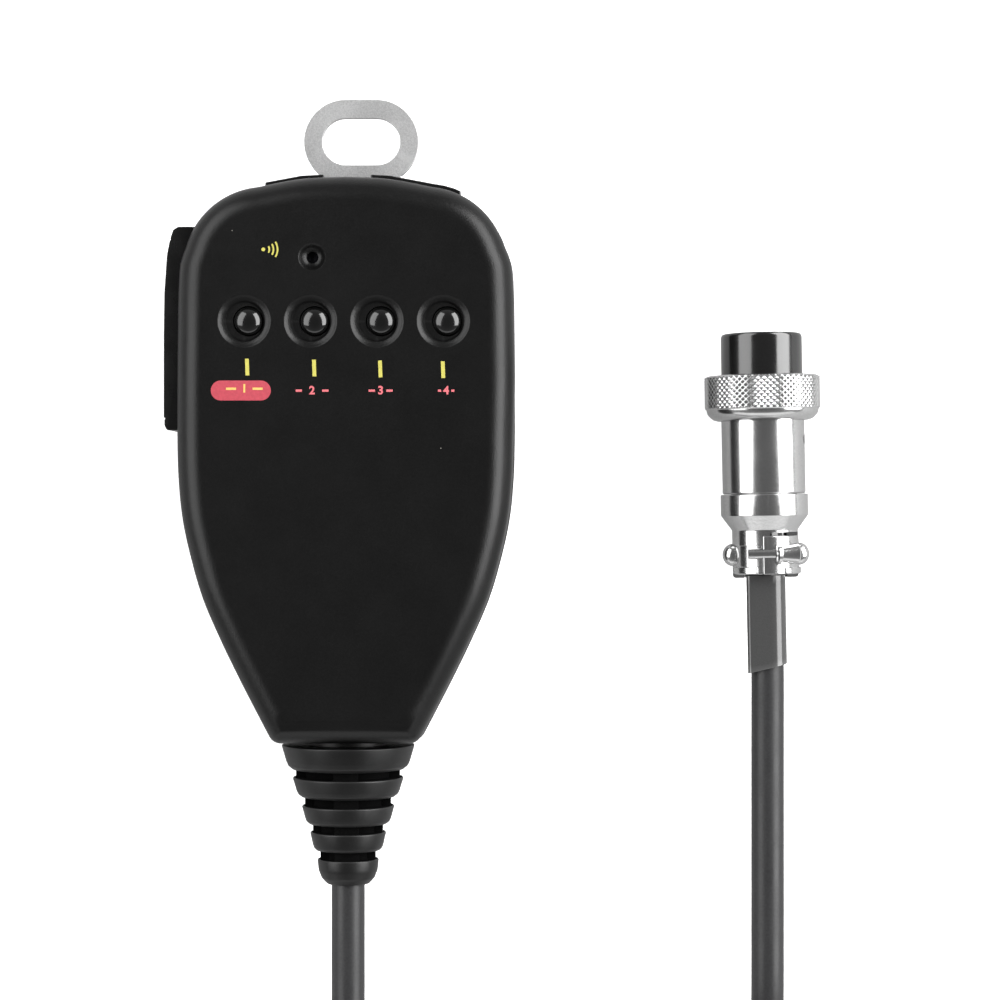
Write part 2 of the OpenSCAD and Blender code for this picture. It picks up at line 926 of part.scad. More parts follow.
module coupling_ring() {
    r = ring_d / 2;
    start = ring_start + 0.02;
    end = ring_start + ring_l;
    color([0.8, 0.8, 0.8])
        at_plug()
            rotate_extrude()
                polygon([
                    [barrel_r + 0.06, start], [r - 2.2, start], [r - 1.2, start + 0.4],
                    [r - 0.35, start + 1.1], [r, start + 2], [r, end - 0.3], [r - 0.3, end],
                    [thread_r + 0.35, end], [thread_r, end - 0.35], [thread_r, ring_start + ring_lip],
                    [barrel_r + 0.06, ring_start + ring_lip]
                ]);
}

module plug_sleeve() {
    color([0.35, 0.35, 0.36])
        at_plug()
            tube(sleeve_r, cord_r + 0.03, taper_start + 1.2);
}

// ---- cord ----

module cord_mic_tail() {
    color([0.28, 0.28, 0.28])
        swept_tube(mic_tail_route, cord_r, [0, -1, 0]);
}

module cord_plug_tail() {
    color([0.28, 0.28, 0.28])
        swept_tube(plug_tail_route, cord_r, [0, -1, 0]);
}

module cord_curl() {
    color([0.28, 0.28, 0.28])
        union() {
            for (x = [0, curl_apart])
                translate([x, curl_start, curl_z])
                    rotate([90, 0, 0])
                        cylinder(r = curl_r, h = curl_leg);
            translate([curl_apart / 2, curl_start - curl_leg, curl_z])
                rotate([0, 0, 180])
                    rotate_extrude(angle = 180)
                        translate([curl_apart / 2, 0])
                            circle(r = curl_r);
        }
}

front_shell();
rear_shell();
hanger_plate();
case_screws();
strain_relief();
main_board();
board_screws();
key_switches();
key_plunger_1();
key_plunger_2();
key_plunger_3();
key_plunger_4();
key_1();
key_2();
key_3();
key_4();
up_key();
down_key();
top_switches();
up_plunger();
down_plunger();
ptt_lever();
ptt_pin();
ptt_spring();
ptt_switch();
ptt_plunger();
lock_switch();
lock_knob();
mic_capsule();
capsule_boot();
dust_screen();
circuits();
capacitors();
cord_header();
conductors();
cord_lead_in();
cord_clamp();
clamp_screws();
plug_insert();
plug_contacts();
plug_barrel();
plug_tail_shell();
coupling_ring();
plug_saddle();
saddle_screws();
barrel_screw();
plug_sleeve();
cord_mic_tail();
cord_curl();
cord_plug_tail();
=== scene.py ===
"""Looks of the hand microphone: its case, keys, lever, strain relief, cord and plug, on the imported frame."""

import json
import math

import bmesh
import bpy
from mathutils import Matrix, Vector


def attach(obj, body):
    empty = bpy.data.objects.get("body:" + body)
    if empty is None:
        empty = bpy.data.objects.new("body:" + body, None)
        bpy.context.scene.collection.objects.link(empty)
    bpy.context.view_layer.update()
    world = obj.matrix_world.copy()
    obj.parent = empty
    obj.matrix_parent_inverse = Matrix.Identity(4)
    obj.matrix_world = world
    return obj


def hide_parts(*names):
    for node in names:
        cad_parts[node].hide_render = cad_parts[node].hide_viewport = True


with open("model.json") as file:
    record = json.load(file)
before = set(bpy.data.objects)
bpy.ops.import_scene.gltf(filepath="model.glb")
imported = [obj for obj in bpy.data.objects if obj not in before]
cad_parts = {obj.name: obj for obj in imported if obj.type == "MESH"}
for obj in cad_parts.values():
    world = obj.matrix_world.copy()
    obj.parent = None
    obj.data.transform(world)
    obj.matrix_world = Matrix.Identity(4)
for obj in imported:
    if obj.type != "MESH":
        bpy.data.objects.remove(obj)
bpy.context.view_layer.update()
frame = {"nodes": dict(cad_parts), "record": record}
MM = 0.001
scene = bpy.context.scene


# ---- camera ----

CAMERA_AT = (0.0247, -0.0062, 0.477)
FACE_Z = 0.027
VIEW_WIDTH = 0.158

camera = bpy.data.objects.new("camera", bpy.data.cameras.new("camera"))
scene.collection.objects.link(camera)
camera.location = CAMERA_AT
camera.data.sensor_width = 36
camera.data.lens = 36 * (CAMERA_AT[2] - FACE_Z) / VIEW_WIDTH
camera.data.clip_start = 0.05
camera.data.clip_end = 20
scene.camera = camera


# ---- mesh helpers: sizes in millimetres, objects in metres ----

def link(name, mesh):
    made = bpy.data.objects.new(name, mesh)
    scene.collection.objects.link(made)
    return made


def mesh_object(name, points, faces, smooth_under=30):
    """An object from points in millimetres and faces, smooth where faces meet at less than an angle."""
    mesh = bpy.data.meshes.new(name)
    mesh.from_pydata([[x * MM for x in p] for p in points], [], faces)
    mesh.validate()
    tidy = bmesh.new()
    tidy.from_mesh(mesh)
    bmesh.ops.remove_doubles(tidy, verts=tidy.verts, dist=1e-6)
    bmesh.ops.recalc_face_normals(tidy, faces=tidy.faces)
    tidy.to_mesh(mesh)
    tidy.free()
    smooth(mesh, smooth_under)
    return link(name, mesh)


def smooth(mesh, under=30):
    for polygon in mesh.polygons:
        polygon.use_smooth = True
    mesh.set_sharp_from_angle(angle=math.radians(under))


def arc(centre, radius, start, end, steps):
    """Points on an arc, both ends included, angles in degrees."""
    angles = [math.radians(start + (end - start) * i / steps) for i in range(steps + 1)]
    return [(centre[0] + radius * math.cos(a), centre[1] + radius * math.sin(a)) for a in angles]


def curve_through(points, step):
    """A smooth curve through points (Catmull-Rom), its points about step apart."""
    made = []
    for i in range(len(points) - 1):
        before = Vector(points[max(i - 1, 0)])
        a = Vector(points[i])
        b = Vector(points[i + 1])
        after = Vector(points[min(i + 2, len(points) - 1)])
        count = max(1, round((b - a).length / step))
        for k in range(count):
            t = k / count
            made.append(tuple(
                0.5 * (2 * a + (b - before) * t + (2 * before - 5 * a + 4 * b - after) * t ** 2
                       + (3 * a - before - 3 * b + after) * t ** 3)
            ))
    return made + [tuple(points[-1])]


def rounded_corners(corners, steps=5):
    """Points of an outline whose corners are (x, y) or (x, y, radius of the fillet there)."""
    made = []
    count = len(corners)
    for i, corner in enumerate(corners):
        here = Vector(corner[:2])
        radius = corner[2] if len(corner) > 2 else 0
        before = Vector(corners[i - 1][:2])
        after = Vector(corners[(i + 1) % count][:2])
        if radius == 0:
            made.append(tuple(here))
            continue
        back = (before - here).normalized()
        ahead = (after - here).normalized()
        half = back.angle(ahead) / 2
        cut = min(radius / math.tan(half), 0.49 * (before - here).length, 0.49 * (after - here).length)
        radius = cut * math.tan(half)
        centre = here + (back + ahead).normalized() * radius / math.sin(half)
        first = here + back * cut - centre
        last = here + ahead * cut - centre
        turn = first.angle_signed(last)
        for k in range(steps + 1):
            spot = first.copy()
            spot.rotate(Matrix.Rotation(-turn * k / steps, 2))
            made.append(tuple(centre + spot))
    return made


def lathe_mesh(profile, steps=96, closed=True):
    """Points and faces of a profile of (radius, height) turned round +Z."""
    count = len(profile)
    points = []
    for k in range(steps):
        a = 2 * math.pi * k / steps
        points += [(r * math.cos(a), r * math.sin(a), z) for r, z in profile]
    faces = []
    for k in range(steps):
        n = (k + 1) % steps
        for i in range(count if closed else count - 1):
            j = (i + 1) % count
            faces.append((k * count + i, n * count + i, n * count + j, k * count + j))
    return points, faces


def extruded_mesh(outline, low, high):
    """Points and faces of a flat outline of (x, y) raised from one height to another."""
    count = len(outline)
    points = [(x, y, low) for x, y in outline] + [(x, y, high) for x, y in outline]
    faces = [tuple(range(count))[::-1], tuple(range(count, 2 * count))]
    faces += [(i, (i + 1) % count, count + (i + 1) % count, count + i) for i in range(count)]
    return points, faces


def box_mesh(low, high):
    return extruded_mesh(
        [(low[0], low[1]), (high[0], low[1]), (high[0], high[1]), (low[0], high[1])], low[2], high[2]
    )


def joined(*parts):
    points = []
    faces = []
    for part_points, part_faces in parts:
        faces += [tuple(i + len(points) for i in face) for face in part_faces]
        points += part_points
    return points, faces


def moved(part, matrix):
    """The same part with its points turned and moved, the matrix in millimetres."""
    return [tuple(matrix @ Vector(p)) for p in part[0]], part[1]


def at(x, y, z=0.0):
    return Matrix.Translation((x, y, z))


def carve(made, cutters, operation="DIFFERENCE"):
    """Cuts one solid with others, or joins them, for good."""
    for cutter in cutters:
        step = made.modifiers.new("carve", "BOOLEAN")
        step.operation = operation
        step.solver = "EXACT"
        step.object = cutter
        depsgraph = bpy.context.evaluated_depsgraph_get()
        done = bpy.data.meshes.new_from_object(made.evaluated_get(depsgraph))
        made.modifiers.clear()
        made.data = done
        bpy.data.objects.remove(cutter)
    smooth(made.data)
    return made


def evened(made):
    """Lets large faces set the shading, so that flat faces look flat."""
    normals = made.modifiers.new("normals", "WEIGHTED_NORMAL")
    normals.keep_sharp = True
    return made


def soften(made, width, segments=2, angle=30):
    """Rounds a solid's sharp edges by a width in millimetres."""
    weld = made.modifiers.new("weld", "WELD")
    weld.merge_threshold = 1e-6
    bevel = made.modifiers.new("bevel", "BEVEL")
    bevel.width = width * MM
    bevel.segments = segments
    bevel.limit_method = "ANGLE"
    bevel.angle_limit = math.radians(angle)
    bevel.harden_normals = False
    bevel.use_clamp_overlap = True
    return evened(made)


def finish_piece(made, body, slot, material, *nodes):
    """Gives a new piece its material and body, and hides the nodes it stands for. The slot it is given is not
    used.
    """
    made.data.materials.clear()
    made.data.materials.append(material)
    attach(made, body)
    if nodes:
        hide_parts(*nodes)
    return made


# ---- materials ----

def hex_colour(code):
    """A linear colour from a screen colour written as six hexadecimal digits."""
    parts = [int(code[i:i + 2], 16) / 255 for i in (0, 2, 4)]
    return [p / 12.92 if p <= 0.04045 else ((p + 0.055) / 1.055) ** 2.4 for p in parts]


class Look:
    """A material built from nodes, and short ways of adding the nodes that every look here uses."""

    def __init__(self, name, metallic=0.0, specular=0.5, coat=0.0, coat_roughness=0.1, sheen=0.0):
        self.material = bpy.data.materials.new(name)
        self.material.use_nodes = True
        self.nodes = self.material.node_tree.nodes
        self.links = self.material.node_tree.links
        self.shader = self.nodes["Principled BSDF"]
        self.shader.inputs["Metallic"].default_value = metallic
        self.shader.inputs["Specular IOR Level"].default_value = specular
        self.shader.inputs["Coat Weight"].default_value = coat
        self.shader.inputs["Coat Roughness"].default_value = coat_roughness
        self.shader.inputs["Sheen Weight"].default_value = sheen
        self.where = self.nodes.new("ShaderNodeTexCoord").outputs["Object"]
        self.height = None

    def noise(self, size, detail=2.0, stretch=(1, 1, 1)):
        """Noise with features of about a size in millimetres."""
        scaled = self.nodes.new("ShaderNodeMapping")
        scaled.inputs["Scale"].default_value = stretch
        self.links.new(self.where, scaled.inputs["Vector"])
        node = self.nodes.new("ShaderNodeTexNoise")
        node.inputs["Scale"].default_value = 1 / (size * MM)
        node.inputs["Detail"].default_value = detail
        self.links.new(scaled.outputs["Vector"], node.inputs["Vector"])
        return node.outputs["Fac"]

    def between(self, source, low, high, to_low, to_high):
        """Maps a range of one output to another range, held at its ends."""
        node = self.nodes.new("ShaderNodeMapRange")
        node.clamp = True
        node.inputs["From Min"].default_value = low
        node.inputs["From Max"].default_value = high
        node.inputs["To Min"].default_value = to_low
        node.inputs["To Max"].default_value = to_high
        self.links.new(source, node.inputs["Value"])
        return node.outputs["Result"]

    def mixed(self, share, first, second):
        """Mixes two colours, each a list of three numbers or an output."""
        node = self.nodes.new("ShaderNodeMix")
        node.data_type = "RGBA"
        self.links.new(share, node.inputs["Factor"])
        for socket, colour in ((node.inputs[6], first), (node.inputs[7], second)):
            if isinstance(colour, list):
                socket.default_value = (*colour, 1)
            else:
                self.links.new(colour, socket)
        return node.outputs[2]

    def worn(self, low=0.52, high=0.62):
        """How much a spot is on an outer edge, from 0 to 1."""
        geometry = self.nodes.new("ShaderNodeNewGeometry")
        return self.between(geometry.outputs["Pointiness"], low, high, 0, 1)

    def specks(self, apart, radius, share):
        """Small dots in millimetres: one cell in a share of them holds a dot."""
        cells = self.nodes.new("ShaderNodeTexVoronoi")
        cells.inputs["Scale"].default_value = 1 / (apart * MM)
        self.links.new(self.where, cells.inputs["Vector"])
        dot = self.between(cells.outputs["Distance"], radius / apart * 0.7, radius / apart, 1, 0)
        split = self.nodes.new("ShaderNodeSeparateColor")
        self.links.new(cells.outputs["Color"], split.inputs["Color"])
        chosen = self.between(split.outputs["Red"], 1 - share, 1 - share + 0.01, 0, 1)
        both = self.nodes.new("ShaderNodeMath")
        both.operation = "MULTIPLY"
        self.links.new(dot, both.inputs[0])
        self.links.new(chosen, both.inputs[1])
        return both.outputs[0]

    def colour(self, source):
        self.links.new(source, self.shader.inputs["Base Color"])

    def roughness(self, source):
        self.links.new(source, self.shader.inputs["Roughness"])

    def bump(self, source, strength, depth):
        """Adds a bump of a depth in millimetres on top of those before it."""
        node = self.nodes.new("ShaderNodeBump")
        node.inputs["Strength"].default_value = strength
        node.inputs["Distance"].default_value = depth * MM
        self.links.new(source, node.inputs["Height"])
        if self.height is not None:
            self.links.new(self.height, node.inputs["Normal"])
        self.height = node.outputs["Normal"]
        self.links.new(self.height, self.shader.inputs["Normal"])


def moulded(name, code, rough, grain=0.25, depth=0.02, wear_and_sheen="6a6a6a", wear_and_sheen_share=0.5, dust=0.0,
            spread=0.18, specular=0.5, coat=0.0, strength=0.4, uneven=0.06, waves=0.12):
    """Moulded plastic or rubber: fine grain, faint blotches, paler edges and a little dust. The paler edges are
    partly wear and, on the strain relief, a painted highlight along the cup rims.
    """
    look = Look(name, specular=specular, coat=coat)
    base = hex_colour(code)
    pale = [min(1, c * (1 + spread) + 0.001) for c in base]
    dark = [c * (1 - spread) for c in base]
    fine = look.noise(grain, 3)
    broad = look.noise(6, 3)
    tone = look.mixed(look.between(fine, 0.3, 0.7, 0, 1), dark, pale)
    # Paler outer edges: wear, and where the edge colour is bright, a painted highlight.
    edge = look.worn()
    held = look.between(edge, 0, 1, 0, wear_and_sheen_share)
    tone = look.mixed(held, tone, hex_colour(wear_and_sheen))
    if dust:
        tone = look.mixed(look.specks(2.2, 0.09, dust), tone, hex_colour("b8b4ac"))
    look.colour(tone)
    look.roughness(look.between(broad, 0.3, 0.7, max(0.03, rough - uneven), min(1, rough + uneven)))
    look.bump(fine, strength, depth)
    if waves:
        look.bump(broad, waves, 0.03)
    return look.material


def metal(name, code, rough, grain=0.2, depth=0.004, stretch=(1, 1, 1), wear_and_sheen="f2f2f2", spots="707070",
          spot_share=0.0, spread=0.08, strength=0.3, metallic=1.0, uneven=0.4):
    """Bare or plated metal: a fine finish, smudges that change its gloss, and brighter edges, partly wear and,
    on the sleeve, a painted highlight.
    """
    look = Look(name, metallic=metallic)
    base = hex_colour(code)
    pale = [min(1, c * (1 + spread)) for c in base]
    dark = [c * (1 - spread) for c in base]
    fine = look.noise(grain, 3, stretch)
    broad = look.noise(4, 4)
    tone = look.mixed(look.between(fine, 0.3, 0.7, 0, 1), dark, pale)
    tone = look.mixed(look.between(look.worn(), 0, 1, 0, 0.6), tone, hex_colour(wear_and_sheen))
    if spot_share:
        tone = look.mixed(look.specks(1.1, 0.22, spot_share), tone, hex_colour(spots))
    look.colour(tone)
    look.roughness(look.between(broad, 0.3, 0.7, max(0.02, rough * (1 - uneven)), min(1, rough * (1 + uneven))))
    look.bump(fine, strength, depth)
    return look.material


looks = {
    "shell_black": moulded(
        "case plastic", "0b0b0b", 0.33, 0.24, 0.05, "3c3c3c", 0.15, 0.03, specular=0.38, uneven=0.02, waves=0,
        strength=0.6,
    ),
    "key_black": moulded("key rubber", "080808", 0.1, 0.2, 0.003, "202020", 0.2, specular=0.9, strength=0.2),
    "lever_black": moulded("lever plastic", "090909", 0.26, 0.3, 0.006, "303030", 0.3, 0.01, strength=0.2),
    # The strain relief's pale edge colour is a painted highlight: it stands in for the bright line along each
    # cup's rim.
    "relief_rubber": moulded("relief rubber", "101010", 0.38, 0.3, 0.012, "6a6a6a", 0.5, 0.03, strength=0.3),
    # Painted shade: a near-black, matte look for the strain relief's groove faces, where the grooves lie in
    # shade.
    "relief_groove": moulded("groove painted shade", "060606", 0.9, 0.3, 0.02, "141414", 0.1, specular=0.08),
    "cord_jacket": moulded("cord jacket", "303031", 0.42, 0.35, 0.006, "404040", 0.2, 0.015, strength=0.25),
    "plate_zinc": metal("plate zinc", "e4e4e4", 0.46, 0.22, 0.02, spread=0.14, uneven=0.06),
    "plug_chrome": metal("plug chrome", "d6d6d6", 0.19, 0.16, 0.004, spread=0.14, strength=0.4, uneven=0.12),
    "insert_black": moulded(
        "insert plastic", "101010", 0.15, 0.25, 0.006, "4a4a4a", 0.2, specular=1.0, coat=0.35,
    ),
    # The sleeve's pale edge colour is a painted highlight for the light line along its cut end.
    "sleeve_grey": metal("sleeve plastic", "5c5c5c", 0.17, 0.2, 0.003, wear_and_sheen="c8c8c8", metallic=0.4, uneven=0.1),
    "contact_gold": metal("contact gold", "d9b765", 0.22, 0.3, 0.003),
    "screw_steel": metal("screw steel", "c4c4c2", 0.24, 0.3, 0.004, spots="8a8a88", spot_share=0.1),
    "screw_dark": metal("screw dark", "4a4a4c", 0.38, 0.3, 0.006),
    "component_dark": moulded("component dark", "2c2c2f", 0.42, 0.3, 0.01, "5c5c5e", 0.3),
    "component_light": moulded("component light", "c8c0ae", 0.42, 0.3, 0.006, "ece6d8", 0.3),
    "capsule_metal": metal("capsule metal", "c0c0bc", 0.3, 0.3, 0.004),
    "boot_rubber": moulded("boot rubber", "1a1a1a", 0.7, 0.3, 0.02, "3c3c3c", 0.3),
    "dust_felt": moulded("dust felt", "26262a", 0.95, 0.12, 0.08, "3c3c40", 0.2, strength=0.9, specular=0.1),
    "wire_red": moulded("wire red", "a32a22", 0.38, 0.3, 0.006, "c85048", 0.2),
    "plunger_white": moulded("plunger white", "d8d4c8", 0.45, 0.3, 0.006, "f0ece2", 0.2),
    "board_green": moulded("board green", "1d5a34", 0.34, 0.5, 0.01, "3c8a58", 0.3, coat=0.3),
}


def printed(name, code):
    """Printed ink: slightly rough, with a faintly uneven edge of tone."""
    look = Look(name, specular=0.3)
    base = hex_colour(code)
    look.colour(look.mixed(look.between(look.noise(0.4, 3), 0.35, 0.65, 0, 1), [c * 0.88 for c in base], base))
    look.roughness(look.between(look.noise(2, 2), 0.3, 0.7, 0.45, 0.6))
    look.bump(look.noise(0.25, 2), 0.3, 0.01)
    return look.material


# ---- cord ----

CORD_R = 2.7
MIC_EXIT = (0, -68.6, 13.5)
MIC_TAIL = [MIC_EXIT, (0, -75, 13.5), (0, -82, 13.5), (0, -90, 13.5), (0, -98, 13.4), (0, -106, 13.33)]
PLUG_END = Vector((68.6, -34.4, 9.7))
PLUG_LEAN = math.radians(1.1)
PLUG_TAIL = [
    tuple(PLUG_END), (68.6, -45, 9.7), (68.6, -60, 9.7), (68.6, -75, 9.7), (68.6, -86, 9.6), (68.6, -91, 8.7),
    (68.6, -96, 6.6), (68.6, -101, 4.2), (68.6, -106, 2.9),
]
CURL_R = 5.28
CURL_Z = 8.05
CURL_START = -106
CURL_LEG = 64
CURL_APART = 68.6
CURL_EASE = 10
LEG_PITCH = 5.45
BEND_PITCH = 6.3
TURN_POINTS = 28


def plug_axis(along):
    """A point on the plug's axis, a distance in millimetres from the sleeve's end."""
    return PLUG_END + along * Vector((-math.sin(PLUG_LEAN), math.cos(PLUG_LEAN), 0))


def curl_axis(s):
    """A point on the curl's bent axis, and the direction it runs in there."""
    bend_r = CURL_APART / 2
    bend_l = math.pi * bend_r
    if s < CURL_LEG:
        return Vector((0, CURL_START - s, CURL_Z)), Vector((0, -1, 0))
    if s < CURL_LEG + bend_l:
        a = (s - CURL_LEG) / bend_r
        place = Vector((bend_r - bend_r * math.cos(a), CURL_START - CURL_LEG - bend_r * math.sin(a), CURL_Z))
        return place, Vector((math.sin(a), -math.cos(a), 0))
    left = s - CURL_LEG - bend_l
    return Vector((CURL_APART, CURL_START - CURL_LEG + left, CURL_Z)), Vector((0, 1, 0))


def wound(d):
    """How far the curl has turned, in radians, a distance in from either of its ends."""
    rate = 2 * math.pi / LEG_PITCH
    if d < CURL_EASE:
        return rate * d * d / (2 * CURL_EASE)
    return rate * (d - CURL_EASE / 2)


def curl_points():
    """The curly stretch: turns wound round the bent axis, easing out of one tail and into the other."""
    bend_l = math.pi * CURL_APART / 2
    whole = 2 * CURL_LEG + bend_l
    leg_turn = wound(CURL_LEG)
    turns = round(0.5 + (2 * leg_turn / math.pi + 2 * bend_l / BEND_PITCH) / 2)
    whole_turn = 2 * math.pi * turns
    steps = round(whole / LEG_PITCH * TURN_POINTS)
    made = []
    for i in range(1, steps):
        s = whole * i / steps
        if s < CURL_LEG:
            angle = math.pi + wound(s)
        elif s < CURL_LEG + bend_l:
            share = (s - CURL_LEG) / bend_l
            angle = (math.pi + leg_turn) * (1 - share) + (whole_turn - leg_turn) * share
        else:
            angle = whole_turn - wound(whole - s)
        place, ahead = curl_axis(s)
        side = Vector((-ahead.y, ahead.x, 0))
        made.append(place + CURL_R * (math.sin(angle) * side - math.cos(angle) * Vector((0, 0, 1))))
    return made


cord_line = curve_through([Vector(p) for p in MIC_TAIL], 2)[:-1]
cord_line += [tuple(p) for p in curl_points()]
cord_line += curve_through([Vector(p) for p in reversed(PLUG_TAIL)] + [plug_axis(8), plug_axis(20)], 2)
cord_data = bpy.data.curves.new("cord", "CURVE")
cord_data.dimensions = "3D"
cord_data.bevel_depth = CORD_R * MM
cord_data.bevel_resolution = 6
cord_data.use_fill_caps = True
cord_spline = cord_data.splines.new("POLY")
cord_spline.points.add(len(cord_line) - 1)
for spot, place in zip(cord_spline.points, cord_line):
    spot.co = (*(c * MM for c in place), 1)
    spot.radius = 1
cord_spline.use_smooth = True
cord = bpy.data.objects.new("cord", cord_data)
scene.collection.objects.link(cord)
finish_piece(cord, "root", "cord_jacket", looks["cord_jacket"], "cord_mic_tail", "cord_curl", "cord_plug_tail")


# ---- lights, world and floor ----

def softbox(name, place, aim, size, power):
    light = bpy.data.lights.new(name, "AREA")
    light.shape = "RECTANGLE"
    light.size = size[0]
    light.size_y = size[1]
    light.energy = power
    made = bpy.data.objects.new(name, light)
    scene.collection.objects.link(made)
    made.location = place
    made.rotation_euler = (Vector(aim) - Vector(place)).to_track_quat("-Z", "Y").to_euler()
    return made


softbox("left softbox", (-0.72, 0.30, 0.62), (0.02, 0.05, 0), (1.4, 0.74), 9.5)
softbox("right softbox", (0.86, 0.30, 0.52), (0.04, 0.05, 0), (1.4, 0.74), 19)
softbox("foot panel", (0.04, -1.0, 0.26), (0.04, 0, 0), (2.4, 0.5), 2.6)

world = bpy.data.worlds.new("studio")
scene.world = world
world.use_nodes = True
sky = world.node_tree
background = sky.nodes["Background"]
way = sky.nodes.new("ShaderNodeTexCoord")
part = sky.nodes.new("ShaderNodeSeparateXYZ")
ramp = sky.nodes.new("ShaderNodeValToRGB")
sky.links.new(way.outputs["Generated"], part.inputs["Vector"])
sky.links.new(part.outputs["Z"], ramp.inputs["Fac"])
sky.links.new(ramp.outputs["Color"], background.inputs["Color"])
ramp.color_ramp.elements[0].position = 0.3
ramp.color_ramp.elements[0].color = (0.34, 0.34, 0.34, 1)
ramp.color_ramp.elements[1].position = 0.97
ramp.color_ramp.elements[1].color = (0.13, 0.13, 0.13, 1)
middle = ramp.color_ramp.elements.new(0.7)
middle.color = (0.2, 0.2, 0.2, 1)
background.inputs["Strength"].default_value = 1.0

FLOOR_GLOW = 0.68
floor_look = Look("floor paper", specular=0.2)
seen = floor_look.nodes.new("ShaderNodeLightPath").outputs["Is Camera Ray"]
paper = floor_look.mixed(floor_look.noise(300, 2), [0.93, 0.93, 0.93], [0.97, 0.97, 0.97])
floor_look.colour(floor_look.mixed(seen, [0.4, 0.4, 0.4], paper))
floor_look.roughness(floor_look.between(floor_look.noise(40, 2), 0.3, 0.7, 0.8, 0.9))
floor_look.links.new(
    floor_look.between(seen, 0, 1, 0.16, FLOOR_GLOW), floor_look.shader.inputs["Emission Strength"]
)
floor_look.shader.inputs["Emission Color"].default_value = (1, 1, 1, 1)
FLOOR_HALF = 3000
floor_corners = [(x * FLOOR_HALF, y * FLOOR_HALF, 0) for x, y in ((-1, -1), (1, -1), (1, 1), (-1, 1))]
floor = mesh_object("floor", floor_corners, [(0, 1, 2, 3)])
floor.location.z = -0.0002
floor.data.materials.append(floor_look.material)

scene.view_settings.view_transform = "Standard"


# ---- case ----

BODY_T = 27
SPLIT_Z = 13.5
WALL = 2.2
FRONT_ROUND = 4.4
BACK_ROUND = 5.0
TOP = [(0, 45.6), (7, 45.25), (14.1, 43.93)]
SIDE = [
    (25.64, 34.07), (26.5, 31.5), (26.8, 27.5), (26.9, 22), (27, 12), (27, 3.4), (26.8, -3), (26.15, -9.4),
    (24.75, -15.8), (22.85, -22.2), (20.1, -28.6), (17, -35), (13.7, -41.4), (12.34, -43.99),
]
right_side = (
    curve_through(TOP, 0.8)[:-1] + arc((12.7, 30.6), 13.4, 84, 15, 28)[:-1] + curve_through(SIDE, 1.2)[:-1]
    + arc((10.2, -42.9), 2.4, -27, -90, 10)
)
body_outline = right_side + [(-x, y) for x, y in reversed(right_side)][:-1]


def grip(y, x):
    """How far the ribbed grip on the right side stands out at a height."""
    if x < 20:
        return 0
    rise = min((y - 4) / 9, (37 - y) / 5)
    return 0.25 * min(1, max(0, rise))


def inset_ring(outline, inset, z, grips=False):
    """The outline shrunk by an inset, as points at a height. Spots that cross over gather at the corner."""
    count = len(outline)
    shrunk = []
    depths = []
    for i in range(count):
        before = Vector(outline[i - 1])
        here = Vector(outline[i])
        after = Vector(outline[(i + 1) % count])
        along = ((here - before).normalized() + (after - here).normalized()).normalized()
        out = Vector((-along.y, along.x))
        depths.append(inset - (grip(here.y, here.x) if grips else 0))
        shrunk.append(here - out * depths[-1])
    if inset > 1:
        edge = [Vector(p) for p in outline]
        good = [min((q - p).length for p in edge) > d * 0.985 - 0.02 for q, d in zip(shrunk, depths)]
        for i in range(count):
            if not good[i]:
                a = next(shrunk[(i - k) % count] for k in range(1, count) if good[(i - k) % count])
                b = next(shrunk[(i + k) % count] for k in range(1, count) if good[(i + k) % count])
                shrunk[i] = (a + b) / 2
    return [(p.x, p.y, z) for p in shrunk]


def shell_mesh(levels, outline):
    """A cup from rings that run up its outside and back down its inside, closed by two flat faces."""
    count = len(outline)
    rings = [inset_ring(outline, inset, z, grips) for inset, z, grips in levels["outer"]]
    inner = [inset_ring(outline, inset, z) for inset, z in levels["inner"]]
    rings_all = rings + inner
    points = [p for ring in rings_all for p in ring]
    faces = []

    def band(a, b):
        for i in range(count):
            j = (i + 1) % count
            faces.append((a * count + i, a * count + j, b * count + j, b * count + i))

    for k in range(len(rings) - 1):
        band(k, k + 1)
    for k in range(len(rings), len(rings_all) - 1):
        band(k, k + 1)
    band(0, len(rings))
    last_outer = (len(rings) - 1) * count
    last_inner = (len(rings_all) - 1) * count
    faces.append(tuple(last_outer + i for i in range(count)))
    faces.append(tuple(last_inner + i for i in range(count)))
    return points, faces


def rounding_levels(wall_inset, wall_z, face_inset, face_z, steps, grips):
    made = []
    for i in range(steps + 1):
        a = math.pi / 2 * i / steps
        inset = face_inset + (wall_inset - face_inset) * math.cos(a)
        made.append((inset, wall_z + (face_z - wall_z) * math.sin(a), grips))
    return made


front_levels = {
    "outer": [(0.18, SPLIT_Z, False), (0.03, SPLIT_Z + 0.15, False), (0.03, SPLIT_Z + 1.6, False)]
    + [(0.08, SPLIT_Z + 2.0, True), (0.2, 20, True)]
    + rounding_levels(0.25, BODY_T - FRONT_ROUND, FRONT_ROUND, BODY_T, 12, True),
    "inner": [(WALL, SPLIT_Z), (WALL + 0.3, 21.6), (WALL + 1.2, 23.6), (FRONT_ROUND + 0.6, BODY_T - 2.4)],
}
back_levels = {
    "outer": [(0.08, SPLIT_Z, False), (-0.12, SPLIT_Z - 0.2, False), (0.1, 9, False)]
    + rounding_levels(0.4, 4.6, BACK_ROUND, 0, 10, False),
    "inner": [(WALL, SPLIT_Z), (WALL + 0.4, 5.2), (WALL + 1.6, 3.0), (BACK_ROUND + 0.6, 2.2)],
}


def turned(profile, x, y, steps=72):
    """A solid turned round +Z from (radius, height) points that start and end on the axis."""
    points, faces = lathe_mesh(profile, steps, closed=False)
    return moved((points, faces), at(x, y))


